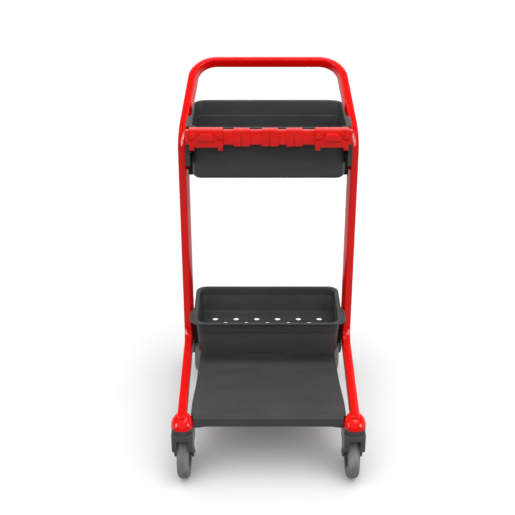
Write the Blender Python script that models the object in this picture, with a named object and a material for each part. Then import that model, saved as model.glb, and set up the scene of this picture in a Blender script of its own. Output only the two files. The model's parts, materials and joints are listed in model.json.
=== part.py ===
"""A rigid two-bin trolley on four swivel castors: a bent tube frame with a handle loop,
a bottom shelf, a pierced lower bin, an upper bin and a tool rail.

Metres. +Z is up, +Y points from the front castors to the handle, and the trolley is
symmetric about X = 0 but for the spacing of the tool clips. Y is measured from the axis
of the front castors while a shape is being made, and settle() moves the finished piece so that
the origin lies under the middle of the trolley.
"""

import math

import bmesh
import bpy
from mathutils import Matrix, Vector

FRONT_AXIS_Y = -0.257
GAP = 0.0003
RUNNING_GAP = 0.00006
SIDES = (("left", -1.0), ("right", 1.0))

# Frame tube: a square tube with rounded edges, turned about its own axis so that one face
# looks forwards and outwards on the columns. TUBE_REACH is its half width in that position.
TUBE_HALF = 0.0099
TUBE_EDGE = 0.003
TUBE_WALL = 0.0015
TUBE_TILT = 27.0
LEG_TILT = 8.0
TUBE_REACH = 0.01232
REAR_LEG_RADIUS = 0.01225
COLUMN_X = 0.1925
COLUMN_Y = 0.305
LEG_FOOT_Z = 0.1727
LEG_SLOPE = 0.1116
LOWER_CORNER_Z = LEG_FOOT_Z + LEG_SLOPE * COLUMN_Y
UPPER_CORNER_Z = 0.7274
HANDLE_X = 0.1694
HANDLE_Y = 0.4931
HANDLE_Z = 0.8459
LOWER_BEND = 0.045
UPPER_BEND = 0.070
HANDLE_BEND = 0.056
LEG_INSERT = 0.012
SOCKET_REACH = 0.06
TUBE_STEPS = 16
LOWER_BEND_END = 11

# Castor places and cups
FRONT_CASTOR = (0.1925, 0.0)
REAR_CASTOR = (0.177, 0.45)
CUP_RADIUS = 0.025
CUP_CENTRE_Z = 0.163
CUP_BOTTOM_Z = 0.155
REAR_LEG_TOP = (0.1925, 0.3195, 0.2005)
REAR_LEG_FOOT_Z = 0.1712

# Castor
TRAIL = 0.032
WHEEL_RADIUS = 0.0625
TYRE_HALF = 0.0140
TYRE_BORE = 0.0475
CORE_HALF = 0.0120
HUB_HALF = 0.0148
AXLE_RADIUS = 0.004
FORK_HALF = 0.0242
LEG_HALF = 0.0224
FORK_TOP_Z = 0.1545
FORK_DISC_Z = 0.1375
STEM_RADIUS = 0.005
STEM_BOTTOM_Z = 0.142
STEM_TOP_Z = 0.174
ROUND_STEPS = 24
WHEEL_CLEARANCE = 0.0162
ARCH_HALF = 0.0124
ARCH_TOP_Z = 0.1296

# Shelf
SHELF_TOP_Z = 0.177
SHELF_BOTTOM_Z = 0.1548
SHELF_WALL = 0.003
SHELF_FRONT_Y = -0.003
SHELF_BACK_Y = 0.385
CUP_CLEARANCE = 0.0256

# Bins
BIN_WALL = 0.0025
LOWER_BIN = {
    "front": 0.215, "back": 0.388, "half": 0.168, "radius": 0.022, "taper": 0.0025,
    "bottom": 0.2074, "floor": 0.2275, "rounding": 0.006, "step": 0.2687, "ridge": 0.2764,
    "top": 0.2966, "lip_half": 0.1775, "lip_front": 0.207, "lip_back": 0.396, "lip_radius": 0.025,
    "ear": 0.1855,
}
UPPER_BIN = {
    "front": 0.2075, "back": 0.389, "half": 0.1672, "radius": 0.020, "taper": 0.0005,
    "bottom": 0.6628, "floor": 0.6628, "rounding": 0.010, "step": 0.740, "ridge": 0.749,
    "top": 0.784, "lip_half": 0.1702, "lip_front": 0.200, "lip_back": 0.396, "lip_radius": 0.030,
    "ear": 0.1795,
}
EAR_END_Y = 0.268
EAR_FADE_Y = 0.290
LIP_DEPTH = 0.003
HOLE_RADIUS = 0.00725
HOLE_PITCH_X = 0.052
HOLE_PITCH_Y = 0.0205
HOLE_LAST_Y = 0.3475
SKIRT_CUT_HALF = 0.150
SKIRT_CUT_TOP_Z = 0.2265

# Tool rail
RAIL_FRONT_Y = 0.1785
RAIL_BACK_Y = 0.1915
RAIL_BOTTOM_Z = 0.753
RAIL_TOP_Z = 0.784
RAIL_HALF = 0.177
ARM_INNER_X = 0.170
MODULE_INNER_X = 0.098
MODULE_OUTER_X = 0.1695
MODULE_FRONT_Y = 0.1735
CLIP_FRONT_Y = 0.1755
CLIP_HALF = 0.017
CLIPS = (("left", -0.058), ("middle", 0.002), ("right", 0.0536))

# Materials: linear colour, roughness and metallic value
MATERIALS = {
    "red_paint": ((0.80, 0.02, 0.01), 0.25, 0.0),
    "red_plastic": ((0.72, 0.02, 0.015), 0.40, 0.0),
    "grey_plastic": ((0.040, 0.040, 0.040), 0.50, 0.0),
    "black_plastic": ((0.015, 0.015, 0.015), 0.50, 0.0),
    "castor_plastic": ((0.055, 0.058, 0.058), 0.45, 0.0),
    "grey_tyre": ((0.15, 0.15, 0.15), 0.75, 0.0),
    "steel": ((0.55, 0.55, 0.56), 0.35, 1.0),
}
SMOOTH_ANGLE = 35.0


def clear_scene():
    for obj in list(bpy.data.objects):
        bpy.data.objects.remove(obj, do_unlink=True)


def make_materials():
    for name, (colour, roughness, metallic) in MATERIALS.items():
        material = bpy.data.materials.new(name)
        material.use_nodes = True
        shader = material.node_tree.nodes["Principled BSDF"]
        shader.inputs["Base Color"].default_value = (*colour, 1.0)
        shader.inputs["Roughness"].default_value = roughness
        shader.inputs["Metallic"].default_value = metallic


def dress(obj, slot):
    """Gives a piece its material and smooth shading over its rounded faces."""
    obj.data.materials.clear()
    obj.data.materials.append(bpy.data.materials[slot])
    obj.data.shade_smooth()
    obj.data.set_sharp_from_angle(angle=math.radians(SMOOTH_ANGLE))


def settle(obj, slot):
    """Moves a finished piece from the castor-axis Y to the trolley's own Y, and dresses it."""
    obj.data.transform(Matrix.Translation((0.0, FRONT_AXIS_Y, 0.0)))
    dress(obj, slot)


def finish(name, bm, slot):
    settle(link(name, bm), slot)


def link(name, bm):
    bmesh.ops.recalc_face_normals(bm, faces=bm.faces)
    mesh = bpy.data.meshes.new(name)
    bm.to_mesh(mesh)
    bm.free()
    obj = bpy.data.objects.new(name, mesh)
    bpy.context.scene.collection.objects.link(obj)
    return obj


def loft(rings):
    """A closed solid through rings of equal length, with the first and last ring capped."""
    bm = bmesh.new()
    loops = [[bm.verts.new(point) for point in ring] for ring in rings]
    count = len(loops[0])
    for low, high in zip(loops, loops[1:]):
        for i in range(count):
            j = (i + 1) % count
            bm.faces.new((low[i], low[j], high[j], high[i]))
    bm.faces.new(list(reversed(loops[0])))
    bm.faces.new(loops[-1])
    return bm


def prism(profile, axis, start, end):
    """Extrudes a profile of point pairs along X ("x") or Z ("z")."""
    if axis == "x":
        rings = [[(s, a, b) for a, b in profile] for s in (start, end)]
    else:
        rings = [[(a, b, s) for a, b in profile] for s in (start, end)]
    return loft(rings)


def box(x0, x1, y0, y1, z0, z1):
    return prism([(x0, y0), (x1, y0), (x1, y1), (x0, y1)], "z", z0, z1)


def lathe(profile, steps, axis="z", centre=(0.0, 0.0, 0.0)):
    """Turns a closed profile of (radius, along) pairs round an axis through centre."""
    bm = bmesh.new()
    columns = []
    for radius, along in profile:
        if radius == 0.0:
            columns.append([bm.verts.new(on_axis(axis, centre, 0.0, 0.0, along))])
            continue
        ring = []
        for k in range(steps):
            angle = 2.0 * math.pi * k / steps
            spot = on_axis(axis, centre, radius * math.cos(angle), radius * math.sin(angle), along)
            ring.append(bm.verts.new(spot))
        columns.append(ring)
    for low, high in zip(columns, columns[1:] + columns[:1]):
        if len(low) == 1 and len(high) == 1:
            continue
        for k in range(steps):
            n = (k + 1) % steps
            corners = [low[k % len(low)], low[n % len(low)], high[n % len(high)], high[k % len(high)]]
            corners = list(dict.fromkeys(corners))
            bm.faces.new(corners)
    return bm


def on_axis(axis, centre, u, v, along):
    x, y, z = centre
    if axis == "x":
        return (x + along, y + u, z + v)
    return (x + u, y + v, z + along)


def combine(name, first, operation, second):
    """A Boolean of two objects, applied; the second object is used up."""
    modifier = first.modifiers.new("cut", "BOOLEAN")
    modifier.operation = operation
    modifier.solver = "EXACT"
    modifier.object = second
    bpy.context.view_layer.update()
    graph = bpy.context.evaluated_depsgraph_get()
    mesh = bpy.data.meshes.new_from_object(first.evaluated_get(graph))
    first.modifiers.clear()
    first.data = mesh
    first.name = name
    mesh.name = name
    bpy.data.objects.remove(second, do_unlink=True)
    return first


def cut(obj, bm):
    return combine(obj.name, obj, "DIFFERENCE", link("cutter", bm))


def join(obj, bm):
    return combine(obj.name, obj, "UNION", link("addition", bm))


def rounded_path(corners, bends):
    """Points of a polyline whose inner corners are rounded; bends holds (radius, steps)."""
    points = [Vector(corners[0])]
    for i, (radius, steps) in enumerate(bends, start=1):
        corner = Vector(corners[i])
        come = (corner - Vector(corners[i - 1])).normalized()
        leave = (Vector(corners[i + 1]) - corner).normalized()
        turn = come.angle(leave)
        reach = radius * math.tan(turn / 2.0)
        start = corner - come * reach
        inward = (leave - come * come.dot(leave)).normalized()
        centre = start + inward * radius
        for k in range(steps + 1):
            angle = turn * k / steps
            points.append(centre - inward * radius * math.cos(angle) + come * radius * math.sin(angle))
    points.append(Vector(corners[-1]))
    return points


def round_section(radius):
    """Outline of a round tube, as (sideways, upwards) from its axis."""
    turns = [2.0 * math.pi * k / TUBE_STEPS for k in range(TUBE_STEPS)]
    return [(radius * math.cos(turn), radius * math.sin(turn)) for turn in turns]


def square_section(grow, tilt):
    """Outline of the frame tube, grown by grow and turned outwards by tilt degrees."""
    radius = TUBE_EDGE + grow
    reach = TUBE_HALF - TUBE_EDGE
    lean = math.radians(tilt)
    points = []
    for corner in range(4):
        middle = math.radians(45.0 + 90.0 * corner)
        a = math.copysign(reach, math.cos(middle))
        b = math.copysign(reach, math.sin(middle))
        for k in range(TUBE_STEPS // 4):
            angle = middle + math.radians(-45.0 + 90.0 * k / (TUBE_STEPS // 4 - 1))
            u = a + radius * math.cos(angle)
            v = b + radius * math.sin(angle)
            points.append((u * math.cos(lean) + v * math.sin(lean), v * math.cos(lean) - u * math.sin(lean)))
    return points


def tube_tilt(z):
    """The tube's tilt, which changes from the legs to the columns in the lower bend."""
    share = min(1.0, max(0.0, (z - LOWER_CORNER_Z) / LOWER_BEND))
    return LEG_TILT + (TUBE_TILT - LEG_TILT) * share


def tube_sections(points, grow):
    return [square_section(grow, tube_tilt(point.z)) for point in points]


def sweep(points, sections, outward):
    """Rings of a tube along points; outward sets which way the first section's side looks."""
    rings = []
    side = Vector(outward)
    for i, point in enumerate(points):
        before = (point - points[i - 1]).normalized() if i else (points[1] - point).normalized()
        after = (points[i + 1] - point).normalized() if i + 1 < len(points) else before
        along = (before + after).normalized()
        side = (side - along * along.dot(side)).normalized()
        up = along.cross(side)
        bend = after - before
        toward = bend.normalized()
        stretch = 1.0 / max(0.5, math.cos(before.angle(after, 0.0) / 2.0)) - 1.0
        ring = []
        for u, v in sections[i]:
            spoke = side * u + up * v
            ring.append(point + spoke + toward * spoke.dot(toward) * stretch)
        rings.append(ring)
    return rings


def tube(outer, inner):
    """A hollow tube between two sets of rings, open at both ends."""
    bm = bmesh.new()
    walls = [[[bm.verts.new(p) for p in ring] for ring in skin] for skin in (outer, inner)]
    for skin in walls:
        for low, high in zip(skin, skin[1:]):
            for k in range(TUBE_STEPS):
                n = (k + 1) % TUBE_STEPS
                bm.faces.new((low[k], low[n], high[n], high[k]))
    for end in (0, -1):
        for k in range(TUBE_STEPS):
            n = (k + 1) % TUBE_STEPS
            bm.faces.new((walls[0][end][k], walls[0][end][n], walls[1][end][n], walls[1][end][k]))
    return bm


def frame_path():
    """The tube from the left front cup, up, round the handle and down to the right front cup."""
    foot_z = LEG_FOOT_Z + LEG_SLOPE * LEG_INSERT
    half = [
        (COLUMN_X, LEG_INSERT, foot_z),
        (COLUMN_X, COLUMN_Y, LOWER_CORNER_Z),
        (COLUMN_X, COLUMN_Y, UPPER_CORNER_Z),
        (HANDLE_X, HANDLE_Y, HANDLE_Z),
    ]
    left = [(-x, y, z) for x, y, z in half]
    bends = [(LOWER_BEND, 7), (UPPER_BEND, 6), (HANDLE_BEND, 9)]
    return rounded_path(left + half[::-1], bends + bends[::-1])


def make_cup(name, x, y, socket):
    """A domed socket over a castor, which holds the end of a leg."""
    dome = [(0.0, CUP_CENTRE_Z + CUP_RADIUS)]
    for k in range(1, 7):
        angle = math.pi / 2.0 * k / 6
        dome.append((CUP_RADIUS * math.sin(angle), CUP_CENTRE_Z + CUP_RADIUS * math.cos(angle)))
    bore = STEM_RADIUS + GAP
    dome += [(CUP_RADIUS, CUP_BOTTOM_Z), (bore, CUP_BOTTOM_Z), (bore, STEM_TOP_Z + GAP)]
    dome += [(0.0, STEM_TOP_Z + GAP)]
    cup = link(name, lathe(dome, 20, centre=(x, y, 0.0)))
    cut(cup, socket)
    settle(cup, "red_paint")


def make_front_cup(side, sign):
    """The leg starts a little way behind the middle of this cup."""
    x, y = FRONT_CASTOR
    start = Vector((-x, LEG_INSERT - GAP, LEG_FOOT_Z + LEG_SLOPE * LEG_INSERT))
    end = start + Vector((0.0, 1.0, LEG_SLOPE)) * SOCKET_REACH
    socket = loft(sweep([start, end], [square_section(GAP, LEG_TILT)] * 2, (-1.0, 0.0, 0.0)))
    if sign > 0.0:
        bmesh.ops.scale(socket, verts=socket.verts, vec=(-1.0, 1.0, 1.0))
    make_cup("cup_front_" + side, sign * x, y, socket)


def make_rear_leg(side, sign):
    """The rear cup and the round leg that runs from it to the lower bend of the column."""
    x, y = REAR_CASTOR
    outward = (sign, 0.0, 0.0)
    top = Vector((sign * REAR_LEG_TOP[0], REAR_LEG_TOP[1], REAR_LEG_TOP[2]))
    end = Vector((sign * x, y, REAR_LEG_FOOT_Z))
    away = (top - end).normalized()
    foot = end + away * LEG_INSERT
    ends = [foot - away * GAP, foot + away * SOCKET_REACH]
    make_cup("cup_rear_" + side, sign * x, y,
             loft(sweep(ends, [round_section(REAR_LEG_RADIUS + GAP)] * 2, outward)))
    outer = sweep([foot, top], [round_section(REAR_LEG_RADIUS)] * 2, outward)
    inner = sweep([foot, top], [round_section(REAR_LEG_RADIUS - TUBE_WALL)] * 2, outward)
    leg = link("rear_leg_" + side, tube(outer, inner))
    points = frame_path()[:LOWER_BEND_END]
    mould = loft(sweep(points, tube_sections(points, GAP), (-1.0, 0.0, 0.0)))
    if sign > 0.0:
        bmesh.ops.scale(mould, verts=mould.verts, vec=(-1.0, 1.0, 1.0))
    cut(leg, mould)
    settle(leg, "red_paint")


def make_frame():
    points = frame_path()
    outer = sweep(points, tube_sections(points, 0.0), (-1.0, 0.0, 0.0))
    inner = sweep(points, tube_sections(points, -TUBE_WALL), (-1.0, 0.0, 0.0))
    finish("frame_tube", tube(outer, inner), "red_paint")
    for side, sign in SIDES:
        make_front_cup(side, sign)
        make_rear_leg(side, sign)


def fork_profile():
    """Side outline of the castor hood and its legs, as (Y, Z) from the swivel axis."""
    boss = 0.0135
    hub_y = TRAIL
    hub_z = WHEEL_RADIUS
    points = [(-0.0255, FORK_DISC_Z + 0.004), (-0.0262, 0.128), (-0.0262, 0.1025), (-0.0235, 0.1000)]
    points += [(-0.0080, 0.1000), (0.0060, 0.0860)]
    for k in range(7):
        angle = math.radians(200.0 + 170.0 * k / 6)
        points.append((hub_y + boss * math.cos(angle), hub_z + boss * math.sin(angle)))
    points += [(0.0540, 0.0900), (0.0640, 0.1080), (0.0610, 0.1240), (0.0480, 0.1350)]
    points += [(0.0300, 0.1405), (0.0180, FORK_DISC_Z + 0.004)]
    return points


def fork_plan(half, front, back, radius):
    """Plan outline of the hood: rounded at the front, tighter at the back."""
    points = []
    for cx, cy, start in (
        (half - radius, front + radius, -90.0),
        (half - radius, back - radius, 0.0),
        (radius - half, back - radius, 90.0),
        (radius - half, front + radius, 180.0),
    ):
        for k in range(5):
            angle = math.radians(start + 90.0 * k / 4)
            points.append((cx + radius * math.cos(angle), cy + radius * math.sin(angle)))
    return points


def castor_meshes():
    """The five pieces of one castor, with the swivel axis on Z."""
    fork = link("fork", prism(fork_profile(), "x", -0.03, 0.03))
    plan = fork_plan(FORK_HALF, -0.0262, 0.0655, 0.009)
    combine("fork", fork, "INTERSECT", link("plan", prism(plan, "z", 0.03, 0.16)))
    groove = 0.0006
    disc = [(0.0, 0.139), (FORK_HALF, 0.139), (FORK_HALF, 0.1437), (FORK_HALF - groove, 0.1440)]
    disc += [(FORK_HALF - groove, 0.1446), (FORK_HALF, 0.1449), (FORK_HALF, FORK_TOP_Z - 0.0008)]
    disc += [(FORK_HALF - 0.0008, FORK_TOP_Z), (0.0, FORK_TOP_Z)]
    join(fork, lathe(disc, 28))
    cavity = WHEEL_RADIUS + 0.003
    hollow = [(0.0, -WHEEL_CLEARANCE), (cavity, -WHEEL_CLEARANCE), (cavity, WHEEL_CLEARANCE)]
    hollow += [(0.0, WHEEL_CLEARANCE)]
    cut(fork, lathe(hollow, 32, "x", (0.0, TRAIL, WHEEL_RADIUS)))
    cut(fork, box(-ARCH_HALF, ARCH_HALF, -0.04, 0.0, 0.09, ARCH_TOP_Z))
    for sign in (-1.0, 1.0):
        inner, outer = sorted((sign * LEG_HALF, sign * 0.04))
        cut(fork, box(inner, outer, 0.0, 0.08, 0.03, 0.0920))
    hole = [(0.0, -0.05), (AXLE_RADIUS + GAP, -0.05), (AXLE_RADIUS + GAP, 0.05), (0.0, 0.05)]
    cut(fork, lathe(hole, ROUND_STEPS, "x", (0.0, TRAIL, WHEEL_RADIUS)))
    bore = [(0.0, STEM_BOTTOM_Z - GAP), (STEM_RADIUS + RUNNING_GAP, STEM_BOTTOM_Z - GAP)]
    bore += [(STEM_RADIUS + RUNNING_GAP, 0.17), (0.0, 0.17)]
    cut(fork, lathe(bore, ROUND_STEPS))

    stem = link("stem", lathe([
        (0.0, STEM_BOTTOM_Z), (STEM_RADIUS, STEM_BOTTOM_Z), (STEM_RADIUS, STEM_TOP_Z), (0.0, STEM_TOP_Z),
    ], ROUND_STEPS))
    head = LEG_HALF + 0.0025
    axle = link("axle", lathe([
        (0.0, -head), (0.0060, -head), (0.0060, -LEG_HALF - GAP), (AXLE_RADIUS, -LEG_HALF - GAP),
        (AXLE_RADIUS, LEG_HALF + GAP), (0.0060, LEG_HALF + GAP), (0.0060, head), (0.0, head),
    ], ROUND_STEPS, "x", (0.0, TRAIL, WHEEL_RADIUS)))
    rim = TYRE_BORE - GAP
    bore = AXLE_RADIUS + RUNNING_GAP
    core = link("core", lathe([
        (bore, -HUB_HALF), (0.0120, -HUB_HALF), (0.0130, -0.0060), (0.0400, -0.0060),
        (0.0420, -CORE_HALF), (rim, -CORE_HALF), (rim, CORE_HALF), (0.0420, CORE_HALF),
        (0.0400, 0.0060), (0.0130, 0.0060), (0.0120, HUB_HALF), (bore, HUB_HALF),
    ], ROUND_STEPS, "x", (0.0, TRAIL, WHEEL_RADIUS)))
    tread = [(TYRE_BORE, -0.0122), (0.0500, -0.0135), (0.0545, -TYRE_HALF), (0.0590, -0.0124)]
    tread += [(0.0615, -0.0088), (WHEEL_RADIUS, -0.0035)]
    tread += [(radius, -along) for radius, along in reversed(tread)]
    tyre = link("tyre", lathe(tread, 32, "x", (0.0, TRAIL, WHEEL_RADIUS)))
    dress(stem, "steel")
    dress(fork, "castor_plastic")
    dress(axle, "steel")
    dress(core, "castor_plastic")
    dress(tyre, "grey_tyre")
    return {"castor_stem": stem, "castor_fork": fork, "axle": axle, "wheel_core": core, "tyre": tyre}


def make_castors():
    """Each castor's stem and fork have their origin under the swivel axis, on the floor; the
    axle and the wheel have theirs on the axle's axis and hang from the fork."""
    pieces = castor_meshes()
    hub = Vector((0.0, TRAIL, WHEEL_RADIUS))
    for kind in ("axle", "wheel_core", "tyre"):
        pieces[kind].data.transform(Matrix.Translation(-hub))
    for end, (x, y) in (("front", FRONT_CASTOR), ("rear", REAR_CASTOR)):
        for side, sign in SIDES:
            place = "_".join((end, side))
            fork = copy_of(pieces["castor_fork"], "castor_fork_" + place)
            fork.location = (sign * x, FRONT_AXIS_Y + y, 0.0)
            stem = copy_of(pieces["castor_stem"], "castor_stem_" + place)
            stem.location = fork.location
            for kind in ("axle", "wheel_core", "tyre"):
                piece = copy_of(pieces[kind], kind + "_" + place)
                piece.parent = fork
                piece.location = hub
    for master in pieces.values():
        bpy.data.objects.remove(master, do_unlink=True)


def copy_of(master, name):
    """A new object that shares its mesh with master."""
    obj = bpy.data.objects.new(name, master.data)
    bpy.context.scene.collection.objects.link(obj)
    return obj


def shelf_outline():
    """Right half of the shelf's plan outline, which runs round the front cup."""
    right = [(0.12, SHELF_FRONT_Y), (0.155, SHELF_FRONT_Y)]
    x, y = FRONT_CASTOR
    for angle in (186.0, 170.0, 154.0, 138.0):
        turn = math.radians(angle)
        right.append((x + CUP_CLEARANCE * math.cos(turn), y + CUP_CLEARANCE * math.sin(turn)))
    right += [(0.1736, 0.040), (0.1727, 0.070), (0.1690, 0.130), (0.1668, 0.190), (0.1660, 0.250)]
    right += [(0.1652, 0.310), (0.1645, 0.355)]
    for k in range(1, 5):
        turn = math.radians(22.5 * k)
        right.append((0.1445 + 0.020 * math.cos(turn), 0.365 + 0.020 * math.sin(turn)))
    right.append((0.110, SHELF_BACK_Y))
    return right


def inset(outline, distance):
    """The outline moved inwards by distance along its own normals."""
    moved = []
    count = len(outline)
    for i, (x, y) in enumerate(outline):
        px, py = outline[i - 1]
        nx, ny = outline[(i + 1) % count]
        along = Vector((nx - px, ny - py)).normalized()
        moved.append((x - along.y * distance, y + along.x * distance))
    return moved


def make_shelf():
    right = shelf_outline()
    outline = right + [(-x, y) for x, y in reversed(right)]
    edge = 0.0015
    rings = []
    for distance, z in (
        (SHELF_WALL + 0.0005, SHELF_TOP_Z - SHELF_WALL),
        (SHELF_WALL, SHELF_BOTTOM_Z),
        (0.0, SHELF_BOTTOM_Z),
        (0.0, SHELF_TOP_Z - edge),
        (edge * 0.4, SHELF_TOP_Z - edge * 0.4),
        (edge, SHELF_TOP_Z),
    ):
        rings.append([(x, y, z) for x, y in inset(outline, distance)])
    finish("bottom_shelf", loft(rings), "grey_plastic")


def bin_ring(half, front, back, radius, z, ear=None):
    """One level of a bin; ear widens the front part of its sides to that half width."""
    wide = half if ear is None else ear
    steps = 4
    right = []
    for k in range(steps + 1):
        angle = math.radians(-90.0 + 90.0 * k / steps)
        right.append((wide - radius + radius * math.cos(angle), front + radius + radius * math.sin(angle)))
    for k in range(4):
        part = k / 3
        ease = part * part * (3.0 - 2.0 * part)
        y = EAR_END_Y + (EAR_FADE_Y - EAR_END_Y) * part
        right.append((wide + (half - wide) * ease, y))
    for k in range(steps + 1):
        angle = math.radians(90.0 * k / steps)
        right.append((half - radius + radius * math.cos(angle), back - radius + radius * math.sin(angle)))
    return [(x, y, z) for x, y in right] + [(-x, y, z) for x, y in reversed(right)]


def bin_rings(b):
    """The whole wall of a bin, from the underside of its floor over the lip to its floor inside."""
    span = b["step"] - b["bottom"]

    def wall(z, inward):
        lean = b["taper"] * max(0.0, b["step"] - z) / span
        shrink = inward + lean
        return bin_ring(b["half"] - shrink, b["front"] + shrink, b["back"] - shrink,
                        max(0.004, b["radius"] - shrink), z)

    def lip(z, inward):
        return bin_ring(b["lip_half"] - inward, b["lip_front"] + inward, b["lip_back"] - inward,
                        b["lip_radius"] - inward, z, b["ear"] - inward)

    rings = []
    if b["floor"] > b["bottom"]:
        rings.append(wall(b["floor"], BIN_WALL))
        rings.append(wall(b["bottom"], BIN_WALL))
        rings.append(wall(b["bottom"], b["rounding"] * 0.2))
        rings.append(wall(b["bottom"] + b["rounding"] * 0.6, 0.0))
    else:
        for k in range(6):
            angle = math.radians(90.0 * k / 5)
            rings.append(wall(b["bottom"] + b["rounding"] * (1.0 - math.cos(angle)),
                              b["rounding"] * (1.0 - math.sin(angle))))
    rings.append(wall(b["step"] - 0.0010, 0.0))
    rings.append(wall(b["step"], -0.0014))
    rings.append(wall(b["top"] - LIP_DEPTH, -0.0014))
    rings.append(lip(b["top"] - LIP_DEPTH - 0.0004, 0.0010))
    rings.append(lip(b["top"] - LIP_DEPTH * 0.7, 0.0))
    rings.append(lip(b["top"] - LIP_DEPTH * 0.3, 0.0))
    rings.append(lip(b["top"], 0.0010))
    rings.append(wall(b["top"], BIN_WALL - 0.0014 - 0.0010))
    rings.append(wall(b["top"] - 0.0012, BIN_WALL - 0.0014))
    rings.append(wall(b["ridge"] + 0.0008, BIN_WALL - 0.0014))
    rings.append(wall(b["ridge"] - 0.0008, BIN_WALL))
    floor_top = b["floor"] + BIN_WALL
    rings.append(wall(floor_top + 0.006, BIN_WALL))
    rings.append(wall(floor_top + 0.0018, BIN_WALL + 0.0018))
    rings.append(wall(floor_top, BIN_WALL + 0.006))
    return rings


def drain_holes():
    """All the holes of the lower bin's floor, as one cutter."""
    bm = bmesh.new()
    for row in range(6):
        y = HOLE_LAST_Y - HOLE_PITCH_Y * row
        count = 6 if row % 2 == 0 else 5
        for k in range(count):
            x = (k - (count - 1) / 2.0) * HOLE_PITCH_X
            place = Matrix.Translation((x, y, LOWER_BIN["floor"] + BIN_WALL / 2.0))
            bmesh.ops.create_cone(bm, cap_ends=True, segments=10, radius1=HOLE_RADIUS,
                                  radius2=HOLE_RADIUS, depth=0.012, matrix=place)
    return bm


def make_bins():
    lower = link("lower_bin", loft(bin_rings(LOWER_BIN)))
    cut(lower, drain_holes())
    back = LOWER_BIN["back"]
    cut(lower, box(-SKIRT_CUT_HALF, SKIRT_CUT_HALF, back - 0.006, back + 0.01, 0.2, SKIRT_CUT_TOP_Z))
    settle(lower, "grey_plastic")
    finish("upper_bin", loft(bin_rings(UPPER_BIN)), "grey_plastic")


def angled_bracket(name, sign, y0, y1, z0, z1, ledge_z0, ledge_z1, reach):
    """A plate on the inner side of the column with a ledge under a bin."""
    outer = COLUMN_X - TUBE_REACH - GAP
    inner = 0.1715
    profile = [(outer, z0), (outer, z1), (inner, z1), (inner, ledge_z1), (reach, ledge_z1)]
    profile += [(reach, ledge_z0), (inner, min(z0, ledge_z0)), (outer - 0.002, z0)]
    rings = [[(sign * x, y, z) for x, z in dict.fromkeys(profile)] for y in (y0, y1)]
    finish(name, loft(rings), "black_plastic")


def make_brackets():
    for side, sign in SIDES:
        angled_bracket("upper_bracket_" + side, sign, 0.272, 0.330, 0.648, 0.678, 0.6540,
                       UPPER_BIN["bottom"] - GAP, 0.1420)
        angled_bracket("lower_bracket_" + side, sign, 0.282, 0.316, 0.199, 0.250, 0.2015,
                       LOWER_BIN["bottom"] - GAP, 0.1560)
        outer = COLUMN_X - TUBE_REACH - GAP
        inner, far = sorted((sign * ARM_INNER_X, sign * (outer - GAP)))
        plan = [(0.1918, 0.700), (0.1918, 0.757), (0.262, 0.757), (0.300, 0.728), (0.316, 0.706)]
        plan += [(0.316, 0.690), (0.262, 0.688)]
        finish("rail_arm_" + side, prism(plan, "x", inner, far), "grey_plastic")


def rail_section(front, back, bottom, top, round_top, round_low):
    points = [(back, bottom), (back, top)]
    for k in range(5):
        angle = math.radians(90.0 + 90.0 * k / 4)
        points.append((front + round_top + round_top * math.cos(angle),
                       top - round_top + round_top * math.sin(angle)))
    points += [(front, bottom + round_low), (front + round_low, bottom)]
    return points


def wrap_section(front, bottom, top, round_top):
    """Section of a piece that hooks over the rail from the front."""
    hook = 0.0030
    points = [(RAIL_BACK_Y + GAP, RAIL_TOP_Z - 0.004), (RAIL_BACK_Y + hook, RAIL_TOP_Z - 0.004)]
    points += [(RAIL_BACK_Y + hook, top - 0.001), (RAIL_BACK_Y + hook - 0.001, top)]
    for k in range(5):
        angle = math.radians(90.0 + 90.0 * k / 4)
        points.append((front + round_top + round_top * math.cos(angle),
                       top - round_top + round_top * math.sin(angle)))
    points += [(front, bottom), (RAIL_FRONT_Y + 0.004, bottom)]
    points += [(RAIL_FRONT_Y + 0.004, RAIL_BOTTOM_Z - GAP), (RAIL_FRONT_Y - GAP, RAIL_BOTTOM_Z - GAP)]
    points += [(RAIL_FRONT_Y - GAP, RAIL_TOP_Z + GAP), (RAIL_BACK_Y + GAP, RAIL_TOP_Z + GAP)]
    return points


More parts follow.
